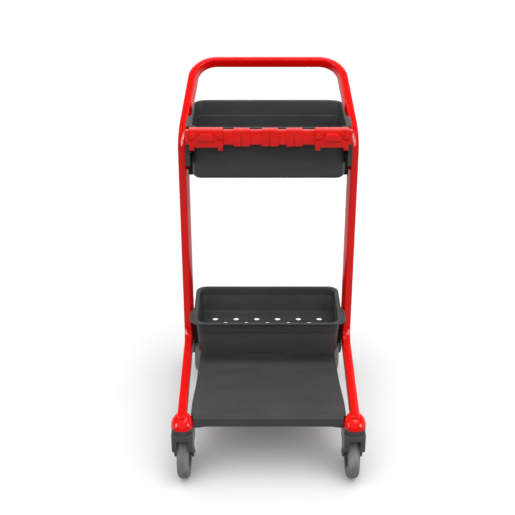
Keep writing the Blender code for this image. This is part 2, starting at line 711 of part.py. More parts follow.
def make_rail():
    section = rail_section(RAIL_FRONT_Y, RAIL_BACK_Y, RAIL_BOTTOM_Z, RAIL_TOP_Z, 0.005, 0.001)
    finish("tool_rail", prism(section, "x", -RAIL_HALF, RAIL_HALF), "red_plastic")
    middle = (MODULE_INNER_X + MODULE_OUTER_X) / 2.0
    for side, sign in SIDES:
        low, high = sorted((sign * MODULE_INNER_X, sign * MODULE_OUTER_X))
        section = wrap_section(MODULE_FRONT_Y, 0.7490, 0.7875, 0.006)
        module = link("hook_module_" + side, prism(section, "x", low, high))
        jaw = [(sign * middle - 0.018, 0.7660), (sign * middle - 0.018, 0.7680)]
        jaw += [(sign * middle - 0.009, 0.7765), (sign * middle + 0.009, 0.7765)]
        jaw += [(sign * middle + 0.018, 0.7680), (sign * middle + 0.018, 0.7660)]
        rings = [[(x, y, z) for x, z in jaw] for y in (0.1690, 0.1755)]
        join(module, loft(rings))
        for x in (low, high - 0.010):
            join(module, box(x, x + 0.010, MODULE_FRONT_Y + 0.0006, MODULE_FRONT_Y + 0.0086, 0.7420, 0.7515))
        slit = 0.0009
        for x0, x1 in ((low - 0.01, low + 0.012), (high - 0.012, high + 0.01)):
            cut(module, box(x0, x1, 0.16, MODULE_FRONT_Y + 0.0030, 0.7665 - slit, 0.7665 + slit))
        settle(module, "red_plastic")
    for side, x in CLIPS:
        section = wrap_section(CLIP_FRONT_Y, 0.7505, 0.7865, 0.005)
        clip = link("tool_clip_" + side, prism(section, "x", x - CLIP_HALF, x + CLIP_HALF))
        notch = [(x - 0.0040, 0.7530), (x - 0.0025, 0.7530), (x + 0.0015, 0.7780), (x, 0.7780)]
        rings = [[(a, y, b) for a, b in notch] for y in (0.16, CLIP_FRONT_Y + 0.0012)]
        cut(clip, loft(rings))
        settle(clip, "red_plastic")


clear_scene()
make_materials()
make_frame()
make_castors()
make_shelf()
make_bins()
make_brackets()
make_rail()
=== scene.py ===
"""Looks for the two-bin trolley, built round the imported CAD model.

Metres and degrees. +Z is up and +Y points from the front castors to the handle. While a piece
is being made its Y is measured from the axis of the front castors; piece() then moves it by
FRONT_AXIS_Y into the frame of the CAD model.
"""

import json
import math

import bmesh
import bpy
from mathutils import Matrix, Vector


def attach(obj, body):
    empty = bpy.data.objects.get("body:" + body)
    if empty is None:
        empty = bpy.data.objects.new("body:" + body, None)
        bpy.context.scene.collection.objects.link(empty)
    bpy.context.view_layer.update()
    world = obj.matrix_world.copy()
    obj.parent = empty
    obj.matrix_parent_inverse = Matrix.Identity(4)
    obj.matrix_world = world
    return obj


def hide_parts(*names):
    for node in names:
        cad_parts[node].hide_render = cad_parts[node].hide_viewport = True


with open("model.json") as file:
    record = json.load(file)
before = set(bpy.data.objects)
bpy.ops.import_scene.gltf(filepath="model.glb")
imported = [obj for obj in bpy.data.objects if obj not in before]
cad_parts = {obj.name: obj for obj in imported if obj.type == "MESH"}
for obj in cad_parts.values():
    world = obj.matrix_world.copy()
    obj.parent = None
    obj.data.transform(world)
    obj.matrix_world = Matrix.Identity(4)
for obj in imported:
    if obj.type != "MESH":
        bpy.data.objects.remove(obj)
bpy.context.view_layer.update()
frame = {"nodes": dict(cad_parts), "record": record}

FRONT_AXIS_Y = -0.257
SIDES = (("left", -1.0), ("right", 1.0))

# Frame tube: a square tube with rounded edges, turned about its own axis
TUBE_HALF = 0.0099
TUBE_EDGE = 0.003
TUBE_CROWN = 0.0005
TUBE_TILT = 27.0
LEG_TILT = 8.0
REAR_LEG_RADIUS = 0.01225
COLUMN_X = 0.1925
COLUMN_Y = 0.305
LEG_FOOT_Z = 0.1727
LEG_SLOPE = 0.1116
LOWER_CORNER_Z = LEG_FOOT_Z + LEG_SLOPE * COLUMN_Y
UPPER_CORNER_Z = 0.7274
HANDLE_X = 0.1694
HANDLE_Y = 0.4931
HANDLE_Z = 0.8459
LOWER_BEND = 0.045
UPPER_BEND = 0.070
HANDLE_BEND = 0.056
LEG_TIP_Y = -0.0065
TIP_LENGTH = 0.008
CORNER_STEPS = 9

# Castor places and cups
FRONT_CASTOR = (0.1925, 0.0)
REAR_CASTOR = (0.177, 0.45)
CUP_RADIUS = 0.025
CUP_BOTTOM_Z = 0.155
CUP_TOP_Z = 0.1790
CUP_RIM = 0.0016
CUP_LEAN = 0.42
CUP_STRETCH = 0.26
REAR_LEG_TOP = (0.1925, 0.2920, 0.2080)
REAR_LEG_FOOT_Z = 0.1712
REAR_LEG_START = 0.010
WELD_START = 0.0225
WELD_RISE = 0.0014
WELD_HALF = 0.0017
WELD_RIPPLE = 0.0002

# Castor
TRAIL = 0.032
WHEEL_RADIUS = 0.0625
TYRE_HALF = 0.0140
TYRE_BORE = 0.0475
CORE_HALF = 0.0120
HUB_HALF = 0.0148
AXLE_RADIUS = 0.004
FORK_HALF = 0.0242
LEG_HALF = 0.0224
FORK_TOP_Z = 0.1545
FORK_DISC_Z = 0.1375
WHEEL_CLEARANCE = 0.0162
ARCH_HALF = 0.0124
ARCH_TOP_Z = 0.1296
FORK_FRONT_Y = -0.0262
FORK_BACK_Y = 0.0655
FORK_CORNER = 0.009
BOSS_RADIUS = 0.0135
BOLT_THICKNESS = 0.0025

# Shelf
SHELF_TOP_Z = 0.177
SHELF_BOTTOM_Z = 0.1548
SHELF_WALL = 0.003
SHELF_FRONT_Y = -0.003
SHELF_BACK_Y = 0.385
SHELF_FLARE = 0.0035
SHELF_EDGE = 0.0022
CUP_CLEARANCE = 0.0256
RIB_WALL = 0.0022
RIB_BOTTOM_Z = SHELF_BOTTOM_Z + 0.008
RIB_SPAN_X = 0.318
RIB_PLACES_X = (-0.132, -0.088, -0.044, 0.0, 0.044, 0.088, 0.132)
RIB_PLACES_Y = (0.070, 0.140, 0.210, 0.280, 0.350)

# Bins: walls are measured at the step under the lip, and the lip's front part is wider, to ear
BIN_WALL = 0.0025
LOWER_BIN = {
    "front": 0.215, "back": 0.388, "half": 0.168, "radius": 0.022, "taper": 0.0025,
    "bottom": 0.2074, "floor": 0.2275, "rounding": 0.006, "step": 0.2687, "ridge": 0.2764,
    "top": 0.2966, "lip_half": 0.1775, "lip_front": 0.207, "lip_back": 0.396, "lip_radius": 0.025,
    "ear": 0.1855,
}
UPPER_BIN = {
    "front": 0.2075, "back": 0.389, "half": 0.1672, "radius": 0.020, "taper": 0.0005,
    "bottom": 0.6628, "floor": 0.6628, "rounding": 0.010, "step": 0.740, "ridge": 0.749,
    "top": 0.784, "lip_half": 0.1702, "lip_front": 0.200, "lip_back": 0.396, "lip_radius": 0.030,
    "ear": 0.1795,
}
EAR_END_Y = 0.268
EAR_FADE_Y = 0.290
LIP_DEPTH = 0.003
HOLE_RADIUS = 0.00725
HOLE_PITCH_X = 0.052
HOLE_PITCH_Y = 0.0205
HOLE_LAST_Y = 0.3475
HOLE_ROWS = 6
FLOOR_ROUNDING = 0.006
SKIRT_CUT_HALF = 0.150
SKIRT_CUT_LOW_Z = 0.2
SKIRT_CUT_TOP_Z = 0.2265

# Tool rail and what hangs on it; the cuts in those start at CUT_START_Y, in front of them all
RAIL_FRONT_Y = 0.1785
RAIL_BACK_Y = 0.1915
RAIL_BOTTOM_Z = 0.753
RAIL_TOP_Z = 0.784
RAIL_HALF = 0.177
RAIL_LEAN = 12.0
RAIL_LEAN_Z = 0.7675
RAIL_ROUNDING = 0.003
RAIL_CHAMFER = 0.001
WRAP_HOOK = 0.0030
WRAP_HOOK_Z = RAIL_TOP_Z - 0.004
WRAP_GAP = 0.0002
WRAP_UNDER = 0.004
WRAP_ROUNDING = 0.0035
CUT_START_Y = 0.160
MODULE_INNER_X = 0.098
MODULE_OUTER_X = 0.1695
MODULE_FRONT_Y = 0.1735
MODULE_BOTTOM_Z = 0.7490
MODULE_TOP_Z = 0.7875
RECESS_Z = 0.7645
STEP_Z = 0.7672
STUD_X = 0.0305
STUD_Z = 0.7455
CLIP_FRONT_Y = 0.1755
CLIP_BOTTOM_Z = 0.7505
CLIP_TOP_Z = 0.7865
CLIP_HALF = 0.017
CLIPS = (("left", -0.058), ("middle", 0.002), ("right", 0.0536))

# Stage
FLOOR_HALF = 15.0
SOFTBOX_PLACE = (0.45, -0.10, 2.9)
SOFTBOX_TARGET = (0.0, 0.0, 0.3)
SOFTBOX_SIZE = (1.1, 0.55)
SOFTBOX_POWER = 6.0
STRIP_PLACE = (2.1, -1.3, 1.75)
STRIP_TARGET = (0.0, 0.05, 0.72)
STRIP_SIZE = (0.30, 1.9)
STRIP_POWER = 22.0
CAMERA_PLACE = (-0.0245, -2.0864, 1.487)
CAMERA_TILT = 63.5
CAMERA_LENS = 69.9
CAMERA_SENSOR = 36.0

CASTORS = [
    (end + "_" + side, sign * place[0], place[1])
    for end, place in (("front", FRONT_CASTOR), ("rear", REAR_CASTOR))
    for side, sign in SIDES
]


# ---------------------------------------------------------------- materials

def add_node(tree, kind, inputs=(), **settings):
    """Adds a node; each input is a constant or the output socket that feeds it."""
    node = tree.nodes.new(kind)
    for key, value in settings.items():
        setattr(node, key, value)
    for key, value in dict(inputs).items():
        if isinstance(value, bpy.types.NodeSocket):
            tree.links.new(value, node.inputs[key])
        else:
            node.inputs[key].default_value = value
    return node


def map_range(value, start, end, low, high):
    """Inputs of a Map Range node."""
    return {"Value": value, "From Min": start, "From Max": end, "To Min": low, "To Max": high}


class Nodes:
    """A new material and short names for building its node tree."""

    def __init__(self, name):
        self.material = bpy.data.materials.new(name)
        self.material.use_nodes = True
        self.tree = self.material.node_tree
        self.shader = self.tree.nodes["Principled BSDF"]
        self.place = self.tree.nodes.new("ShaderNodeTexCoord").outputs["Object"]

    def add(self, kind, inputs=(), **settings):
        return add_node(self.tree, kind, inputs, **settings)

    def noise(self, scale, detail=3.0, roughness=0.55, stretch=None):
        """Noise in the piece's own space; stretch scales that space along X, Y and Z."""
        place = self.place
        if stretch:
            place = self.add("ShaderNodeMapping", {"Vector": place, "Scale": stretch}).outputs[0]
        inputs = {"Vector": place, "Scale": scale, "Detail": detail, "Roughness": roughness}
        return self.add("ShaderNodeTexNoise", inputs).outputs["Fac"]

    def ramp(self, factor, stops):
        node = self.add("ShaderNodeValToRGB", {"Fac": factor})
        elements = node.color_ramp.elements
        while len(elements) < len(stops):
            elements.new(0.5)
        for element, (position, colour) in zip(elements, stops):
            element.position = position
            element.color = (*colour, 1.0)
        return node.outputs["Color"]

    def spread(self, factor, low, high, start=0.3, end=0.7):
        """Low where the factor is at start, high where it is at end."""
        return self.add("ShaderNodeMapRange", map_range(factor, start, end, low, high)).outputs[0]

    def bump(self, height, strength, distance, normal=None):
        inputs = {"Height": height, "Strength": strength, "Distance": distance}
        if normal:
            inputs["Normal"] = normal
        return self.add("ShaderNodeBump", inputs).outputs["Normal"]

    def shade(self, **sockets):
        """Sets or links the shader's sockets, whose names have _ for each space."""
        for key, value in sockets.items():
            socket = self.shader.inputs[key.replace("_", " ")]
            if isinstance(value, bpy.types.NodeSocket):
                self.tree.links.new(value, socket)
            else:
                socket.default_value = value
        return self.material


def painted_red():
    """Glossy powder paint with a fine orange peel."""
    n = Nodes("red_powder_paint")
    reds = [(0.35, (0.80, 0.0014, 0.0006)), (0.65, (0.87, 0.0022, 0.0009))]
    return n.shade(
        Base_Color=n.ramp(n.noise(14.0, 4.0), reds),
        Roughness=n.spread(n.noise(60.0, 5.0), 0.13, 0.21),
        Normal=n.bump(n.noise(700.0, 2.0), 0.06, 0.0003),
        Specular_IOR_Level=0.5,
    )


def moulded_red():
    """Satin moulded plastic with fine grain."""
    n = Nodes("red_moulded_plastic")
    reds = [(0.35, (0.78, 0.0055, 0.0030)), (0.65, (0.86, 0.0080, 0.0040))]
    return n.shade(
        Base_Color=n.ramp(n.noise(30.0, 4.0), reds),
        Roughness=n.spread(n.noise(90.0, 4.0), 0.26, 0.36),
        Normal=n.bump(n.noise(1500.0, 2.0), 0.12, 0.0002),
    )


def grained_plastic(name, dark, light, rough, grain=0.25):
    """Textured dark polypropylene, with faint flow streaks and rubbed patches."""
    n = Nodes(name)
    patches = n.noise(9.0, 6.0, 0.6)
    streaks = n.noise(35.0, 3.0, 0.5, (0.35, 1.0, 1.6))
    both = n.add("ShaderNodeMath", {0: patches, 1: streaks}, operation="ADD").outputs[0]
    both = n.add("ShaderNodeMath", {0: both, 1: 0.5}, operation="MULTIPLY").outputs[0]
    cells = n.add("ShaderNodeTexVoronoi", {"Vector": n.place, "Scale": 900.0}).outputs["Distance"]
    fine = n.noise(2200.0, 2.0)
    normal = n.bump(cells, grain, 0.0002)
    return n.shade(
        Base_Color=n.ramp(both, [(0.40, dark), (0.60, light)]),
        Roughness=n.spread(patches, rough - 0.06, rough + 0.06),
        Normal=n.bump(fine, grain * 0.6, 0.0001, normal),
        Specular_IOR_Level=0.3,
    )


def tyre_rubber():
    """Dull grey rubber with scuff marks."""
    n = Nodes("grey_tyre_rubber")
    marks = n.noise(60.0, 6.0, 0.65, (1.0, 0.35, 0.35))
    greys = [(0.38, (0.175, 0.175, 0.175)), (0.62, (0.270, 0.270, 0.270))]
    return n.shade(
        Base_Color=n.ramp(marks, greys),
        Roughness=n.spread(n.noise(120.0, 5.0), 0.62, 0.82),
        Normal=n.bump(n.noise(900.0, 4.0), 0.30, 0.0003),
    )


def brushed_steel():
    """Zinc-plated steel, brushed round its axis."""
    n = Nodes("zinc_plated_steel")
    greys = [(0.35, (0.46, 0.46, 0.47)), (0.65, (0.60, 0.60, 0.60))]
    return n.shade(
        Base_Color=n.ramp(n.noise(40.0, 4.0), greys),
        Metallic=1.0,
        Roughness=n.spread(n.noise(300.0, 3.0, 0.5, (8.0, 1.0, 1.0)), 0.28, 0.42),
    )


def pale_floor():
    n = Nodes("pale_floor")
    greys = [(0.3, (0.88, 0.88, 0.88)), (0.7, (0.90, 0.90, 0.90))]
    return n.shade(
        Base_Color=n.ramp(n.noise(1.5, 2.0), greys),
        Roughness=0.9,
        Specular_IOR_Level=0.0,
    )


SLOTS = {
    "red_paint": painted_red(),
    "red_plastic": moulded_red(),
    "grey_plastic": grained_plastic(
        "grey_bin_plastic", (0.056, 0.056, 0.056), (0.068, 0.068, 0.068), 0.50),
    "black_plastic": grained_plastic(
        "black_bracket_plastic", (0.010, 0.010, 0.011), (0.016, 0.016, 0.017), 0.50),
    "castor_plastic": grained_plastic(
        "castor_hood_plastic", (0.066, 0.070, 0.070), (0.080, 0.084, 0.084), 0.42),
    "grey_tyre": tyre_rubber(),
    "steel": brushed_steel(),
}


# ---------------------------------------------------------------- mesh helpers

def link(name, bm):
    """Makes an object of bm, with its faces looking outwards, and puts it in the scene."""
    bmesh.ops.recalc_face_normals(bm, faces=bm.faces)
    mesh = bpy.data.meshes.new(name)
    bm.to_mesh(mesh)
    bm.free()
    obj = bpy.data.objects.new(name, mesh)
    bpy.context.scene.collection.objects.link(obj)
    return obj


def piece(obj, body, slot, nodes=(), crease=32.0, bevel=0.0, place=None):
    """Finishes a piece: place, bevel, shading, material, body and the CAD nodes it stands for."""
    obj.data.transform(place or Matrix.Translation((0.0, FRONT_AXIS_Y, 0.0)))
    if bevel:
        modifier = obj.modifiers.new("edges", "BEVEL")
        modifier.width = bevel
        modifier.segments = 2
        modifier.limit_method = "ANGLE"
        modifier.angle_limit = math.radians(crease)
        apply_modifiers(obj)
    obj.data.polygons.foreach_set("use_smooth", [True] * len(obj.data.polygons))
    obj.data.set_sharp_from_angle(angle=math.radians(crease))
    obj.data.materials.clear()
    obj.data.materials.append(SLOTS[slot])
    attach(obj, body)
    if nodes:
        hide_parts(*nodes)
    return obj


def apply_modifiers(obj):
    bpy.context.view_layer.update()
    graph = bpy.context.evaluated_depsgraph_get()
    mesh = bpy.data.meshes.new_from_object(obj.evaluated_get(graph))
    obj.modifiers.clear()
    obj.data = mesh


def loft(rings, closed=False):
    """A solid through rings of equal length; the ends are capped, or joined if closed."""
    bm = bmesh.new()
    loops = [[bm.verts.new(point) for point in ring] for ring in rings]
    count = len(loops[0])
    pairs = list(zip(loops, loops[1:]))
    if closed:
        pairs.append((loops[-1], loops[0]))
    for low, high in pairs:
        for i in range(count):
            j = (i + 1) % count
            bm.faces.new((low[i], low[j], high[j], high[i]))
    if not closed:
        bm.faces.new(list(reversed(loops[0])))
        bm.faces.new(loops[-1])
    return bm


def prism(profile, axis, start, end):
    """Extrudes a profile of point pairs along X, Y or Z."""
    if axis == "x":
        rings = [[(s, a, b) for a, b in profile] for s in (start, end)]
    elif axis == "y":
        rings = [[(a, s, b) for a, b in profile] for s in (start, end)]
    else:
        rings = [[(a, b, s) for a, b in profile] for s in (start, end)]
    return loft(rings)


def box(x0, x1, y0, y1, z0, z1):
    return prism([(x0, y0), (x1, y0), (x1, y1), (x0, y1)], "z", z0, z1)


def add_box(bm, centre, size):
    place = Matrix.Translation(centre) @ Matrix.Diagonal((*size, 1.0))
    bmesh.ops.create_cube(bm, size=1.0, matrix=place)


def lathe(profile, steps, axis="z", centre=(0.0, 0.0, 0.0)):
    """Turns a closed profile of (radius, along) pairs round an axis through centre."""
    bm = bmesh.new()
    columns = []
    for radius, along in profile:
        if radius == 0.0:
            columns.append([bm.verts.new(on_axis(axis, centre, 0.0, 0.0, along))])
            continue
        ring = []
        for k in range(steps):
            angle = 2.0 * math.pi * k / steps
            spot = on_axis(axis, centre, radius * math.cos(angle), radius * math.sin(angle), along)
            ring.append(bm.verts.new(spot))
        columns.append(ring)
    for low, high in zip(columns, columns[1:] + columns[:1]):
        if len(low) == 1 and len(high) == 1:
            continue
        for k in range(steps):
            n = (k + 1) % steps
            corners = [low[k % len(low)], low[n % len(low)]]
            corners += [high[n % len(high)], high[k % len(high)]]
            bm.faces.new(list(dict.fromkeys(corners)))
    return bm


def on_axis(axis, centre, u, v, along):
    """The point at (u, v) across the axis and at along on it, for an axis along X or Z."""
    x, y, z = centre
    if axis == "x":
        return (x + along, y + u, z + v)
    return (x + u, y + v, z + along)


def combine(obj, bm, operation):
    """Applies a Boolean of obj with the shape bm."""
    other = link("tool", bm)
    modifier = obj.modifiers.new("cut", "BOOLEAN")
    modifier.operation = operation
    modifier.solver = "EXACT"
    modifier.object = other
    apply_modifiers(obj)
    bpy.data.objects.remove(other, do_unlink=True)
    return obj


def cut(obj, bm):
    return combine(obj, bm, "DIFFERENCE")


def join(obj, bm):
    return combine(obj, bm, "UNION")


def rounded_path(corners, bends):
    """Points of a polyline whose inner corners are rounded; bends holds (radius, steps)."""
    points = [Vector(corners[0])]
    for i, (radius, steps) in enumerate(bends, start=1):
        corner = Vector(corners[i])
        come = (corner - Vector(corners[i - 1])).normalized()
        leave = (Vector(corners[i + 1]) - corner).normalized()
        turn = come.angle(leave)
        start = corner - come * radius * math.tan(turn / 2.0)
        inward = (leave - come * come.dot(leave)).normalized()
        centre = start + inward * radius
        for k in range(steps + 1):
            angle = turn * k / steps
            spoke = come * radius * math.sin(angle)
            points.append(centre - inward * radius * math.cos(angle) + spoke)
    points.append(Vector(corners[-1]))
    return points


def round_section(radius, steps=40):
    """Outline of a round tube, as (sideways, upwards) from its axis."""
    turns = [2.0 * math.pi * k / steps for k in range(steps)]
    return [(radius * math.cos(turn), radius * math.sin(turn)) for turn in turns]


def square_section(tilt, scale=1.0):
    """Outline of the frame tube, turned outwards by tilt degrees."""
    reach = TUBE_HALF - TUBE_EDGE
    lean = math.radians(tilt)
    points = []
    for corner in range(4):
        middle = math.radians(45.0 + 90.0 * corner)
        a = math.copysign(reach, math.cos(middle))
        b = math.copysign(reach, math.sin(middle))
        for k in range(CORNER_STEPS):
            angle = middle + math.radians(-45.0 + 90.0 * k / (CORNER_STEPS - 1))
            points.append((a + TUBE_EDGE * math.cos(angle), b + TUBE_EDGE * math.sin(angle)))
        face = middle + math.radians(45.0)
        for along in (-0.6, -0.2, 0.2, 0.6):
            out = TUBE_HALF + TUBE_CROWN * (1.0 - along * along)
            points.append((out * math.cos(face) - along * reach * math.sin(face),
                           out * math.sin(face) + along * reach * math.cos(face)))
    turned = []
    for u, v in points:
        turned.append((scale * (u * math.cos(lean) + v * math.sin(lean)),
                       scale * (v * math.cos(lean) - u * math.sin(lean))))
    return turned


def tube_tilt(z):
    """The tube's tilt, which changes from the legs to the columns in the lower bend."""
    share = min(1.0, max(0.0, (z - LOWER_CORNER_Z) / LOWER_BEND))
    return LEG_TILT + (TUBE_TILT - LEG_TILT) * share


def sweep(points, sections, outward):
    """Rings of a tube along points; outward sets which way the first section's side looks."""
    rings = []
    side = Vector(outward)
    for i, point in enumerate(points):
        before = (point - points[i - 1]).normalized() if i else (points[1] - point).normalized()
        after = (points[i + 1] - point).normalized() if i + 1 < len(points) else before
        along = (before + after).normalized()
        side = (side - along * along.dot(side)).normalized()
        up = along.cross(side)
        rings.append([point + side * u + up * v for u, v in sections[i]])
    return rings


# ---------------------------------------------------------------- frame

def frame_path():
    """The tube from the left front cup, up, round the handle and down to the right front cup."""
    half = [
        (COLUMN_X, LEG_TIP_Y + TIP_LENGTH, LEG_FOOT_Z + LEG_SLOPE * (LEG_TIP_Y + TIP_LENGTH)),
        (COLUMN_X, COLUMN_Y, LOWER_CORNER_Z),
        (COLUMN_X, COLUMN_Y, UPPER_CORNER_Z),
        (HANDLE_X, HANDLE_Y, HANDLE_Z),
    ]
    left = [(-x, y, z) for x, y, z in half]
    bends = [(LOWER_BEND, 18), (UPPER_BEND, 16), (HANDLE_BEND, 22)]
    return rounded_path(left + half[::-1], bends + bends[::-1])


def rounded_tip(sign):
    """Points and scales of the tube's closed front end, from the tip backwards."""
    tip = []
    for k in range(7):
        angle = math.radians(6.0 + 14.0 * k)
        y = LEG_TIP_Y + TIP_LENGTH * (1.0 - math.cos(angle))
        point = Vector((sign * COLUMN_X, y, LEG_FOOT_Z + LEG_SLOPE * y))
        tip.append((point, math.sin(angle) ** 0.7))
    return tip


def make_cup(name, x, y, toward):
    """A helmet-shaped socket over a castor, higher on the side that its leg comes in from."""
    low = CUP_BOTTOM_Z + CUP_RIM
    dome = [(0.0, CUP_TOP_Z)]
    for k in range(1, 25):
        angle = math.pi / 2.0 * k / 24
        dome.append((CUP_RADIUS * math.sin(angle) ** 0.75,
                     low + (CUP_TOP_Z - low) * math.cos(angle) ** 0.75))
    dome += [(CUP_RADIUS, CUP_BOTTOM_Z + CUP_RIM / 2.0), (CUP_RADIUS - CUP_RIM / 2.0, CUP_BOTTOM_Z)]
    dome += [(0.0, CUP_BOTTOM_Z)]
    bm = lathe(dome, 64)
    for vert in bm.verts:
        back = vert.co.y * toward / CUP_RADIUS
        rise = max(0.0, vert.co.z - low)
        vert.co.z += rise * CUP_LEAN * back
        vert.co.y *= 1.0 + CUP_STRETCH * max(0.0, back) * min(1.0, rise / 0.006)
    bmesh.ops.translate(bm, verts=bm.verts, vec=(x, y, 0.0))
    piece(link("cup_shell_" + name, bm), "frame", "red_paint", ["cup_" + name])


def weld_bead(name, centre, along, radius):
    """A slightly rippled bead of weld round a rear leg where it enters its cup."""
    along = Vector(along).normalized()
    side = along.orthogonal().normalized()
    up = along.cross(side)
    rings = []
    for k in range(48):
        angle = 2.0 * math.pi * k / 48
        spoke = side * math.cos(angle) + up * math.sin(angle)
        ripple = WELD_RIPPLE * math.sin(k * 2.2)
        ring = []
        for m in range(8):
            turn = 2.0 * math.pi * m / 8
            ring.append(Vector(centre) + spoke * (radius + WELD_RISE * math.cos(turn) + ripple)
                        + along * WELD_HALF * math.sin(turn))
        rings.append(ring)
    piece(link("weld_bead_" + name, loft(rings, closed=True)), "frame", "red_paint")


def make_rear_leg(side, sign):
    x, y = REAR_CASTOR
    top = Vector(REAR_LEG_TOP) * Vector((sign, 1.0, 1.0))
    end = Vector((sign * x, y, REAR_LEG_FOOT_Z))
    away = (top - end).normalized()
    make_cup("rear_" + side, sign * x, y, -1.0)
    ends = [end + away * REAR_LEG_START, top]
    rings = sweep(ends, [round_section(REAR_LEG_RADIUS)] * 2, (sign, 0.0, 0.0))
    piece(link("rear_tube_" + side, loft(rings)), "frame", "red_paint", ["rear_leg_" + side])
    weld_bead(side, end + away * WELD_START, away, REAR_LEG_RADIUS)


def make_frame():
    path = frame_path()
    tip = rounded_tip(-1.0)
    points = [point for point, _ in tip] + path
    sections = [square_section(LEG_TILT, scale) for _, scale in tip]
    sections += [square_section(tube_tilt(point.z)) for point in path]
    end = rounded_tip(1.0)[::-1]
    points += [point for point, _ in end]
    sections += [square_section(LEG_TILT, scale) for _, scale in end]
    tube = link("bent_tube", loft(sweep(points, sections, (-1.0, 0.0, 0.0))))
    piece(tube, "frame", "red_paint", ["frame_tube"], crease=50.0)
    for side, sign in SIDES:
        make_cup("front_" + side, sign * FRONT_CASTOR[0], FRONT_CASTOR[1], 1.0)
        make_rear_leg(side, sign)


# ---------------------------------------------------------------- castors

def fork_profile():
    """Side outline of the hood and its legs, which end in a boss round the axle."""
    points = [(-0.0255, FORK_DISC_Z + 0.004), (FORK_FRONT_Y, 0.128), (FORK_FRONT_Y, 0.1025)]
    points += [(-0.0235, 0.1000), (-0.0080, 0.1000), (-0.0020, 0.0965), (0.0060, 0.0860)]
    for k in range(13):
        angle = math.radians(200.0 + 170.0 * k / 12)
        points.append((TRAIL + BOSS_RADIUS * math.cos(angle),
                       WHEEL_RADIUS + BOSS_RADIUS * math.sin(angle)))
    points += [(0.0540, 0.0900), (0.0620, 0.1010), (0.0640, 0.1080), (0.0610, 0.1240)]
    points += [(0.0560, 0.1310), (0.0480, 0.1350), (0.0300, 0.1405), (0.0180, FORK_DISC_Z + 0.004)]
    return points


def fork_plan():
    """Plan outline of the hood: a rectangle with rounded corners."""
    side = FORK_HALF - FORK_CORNER
    front = FORK_FRONT_Y + FORK_CORNER
    back = FORK_BACK_Y - FORK_CORNER
    corners = ((side, front, -90.0), (side, back, 0.0), (-side, back, 90.0), (-side, front, 180.0))
    points = []
    for x, y, start in corners:
        for k in range(9):
            angle = math.radians(start + 90.0 * k / 8)
            points.append((x + FORK_CORNER * math.cos(angle), y + FORK_CORNER * math.sin(angle)))
    return points


def fork_mesh():
    """The hood under its grooved disc, hollowed for the wheel and open under the front."""
    fork = link("fork", prism(fork_profile(), "x", -0.03, 0.03))
    combine(fork, prism(fork_plan(), "z", 0.03, 0.16), "INTERSECT")
    groove = 0.0009
    disc = [(0.0, 0.139), (FORK_HALF, 0.139), (FORK_HALF, 0.1434), (FORK_HALF - groove, 0.1438)]
    disc += [(FORK_HALF - groove, 0.1446), (FORK_HALF, 0.1450), (FORK_HALF, FORK_TOP_Z - 0.0008)]
    disc += [(FORK_HALF - 0.0008, FORK_TOP_Z), (0.0, FORK_TOP_Z)]
    join(fork, lathe(disc, 56))
    cavity = WHEEL_RADIUS + 0.003
    hollow = [(0.0, -WHEEL_CLEARANCE), (cavity, -WHEEL_CLEARANCE), (cavity, WHEEL_CLEARANCE)]
    hollow += [(0.0, WHEEL_CLEARANCE)]
    cut(fork, lathe(hollow, 64, "x", (0.0, TRAIL, WHEEL_RADIUS)))
    cut(fork, box(-ARCH_HALF, ARCH_HALF, -0.04, 0.0, 0.09, ARCH_TOP_Z))
    for sign in (-1.0, 1.0):
        inner, outer = sorted((sign * LEG_HALF, sign * 0.04))
        cut(fork, box(inner, outer, 0.0, 0.08, 0.03, 0.0920))
    return fork


def core_mesh():
    """Wheel centre: a hub, a dished web with ribs on both faces, and a rim."""
    rim = TYRE_BORE - 0.0001
    profile = [
        (AXLE_RADIUS + 0.0001, -HUB_HALF), (0.0112, -HUB_HALF), (0.0120, -HUB_HALF + 0.0008),
        (0.0128, -0.0060), (0.0138, -0.0048), (0.0395, -0.0048), (0.0408, -0.0060),
        (0.0420, -CORE_HALF + 0.0008), (0.0428, -CORE_HALF), (rim, -CORE_HALF + 0.0002),
    ]
    profile += [(radius, -along) for radius, along in reversed(profile)]
    core = link("core", lathe(profile, 64, "x"))
    for k in range(6):
        rib = box(-0.0102, 0.0102, -0.0011, 0.0011, 0.0110, 0.0425)
        turn = Matrix.Rotation(math.radians(60.0 * k), 3, "X")
        bmesh.ops.rotate(rib, verts=rib.verts, matrix=turn)
        join(core, rib)
    core.data.transform(Matrix.Translation((0.0, TRAIL, WHEEL_RADIUS)))
    return core


def tyre_mesh():
    """A solid tyre with a thin seam on each side and a crowned tread."""
    shoulder = 0.0520
    profile = [(TYRE_BORE, -TYRE_HALF + 0.0022), (0.0488, -TYRE_HALF + 0.0012)]
    profile += [(0.0500, -TYRE_HALF + 0.0010), (0.0506, -TYRE_HALF + 0.0014)]
    profile += [(0.0512, -TYRE_HALF + 0.0008), (shoulder, -TYRE_HALF)]
    crown = WHEEL_RADIUS - shoulder
    for k in range(1, 12):
        angle = math.radians(90.0 * k / 12)
        profile.append((shoulder + crown * math.sin(angle) ** 0.85,
                        -TYRE_HALF * math.cos(angle) ** 0.75))
    profile.append((WHEEL_RADIUS, -0.0008))
    profile += [(radius, -along) for radius, along in reversed(profile)]
    return link("tyre", lathe(profile, 96, "x", (0.0, TRAIL, WHEEL_RADIUS)))


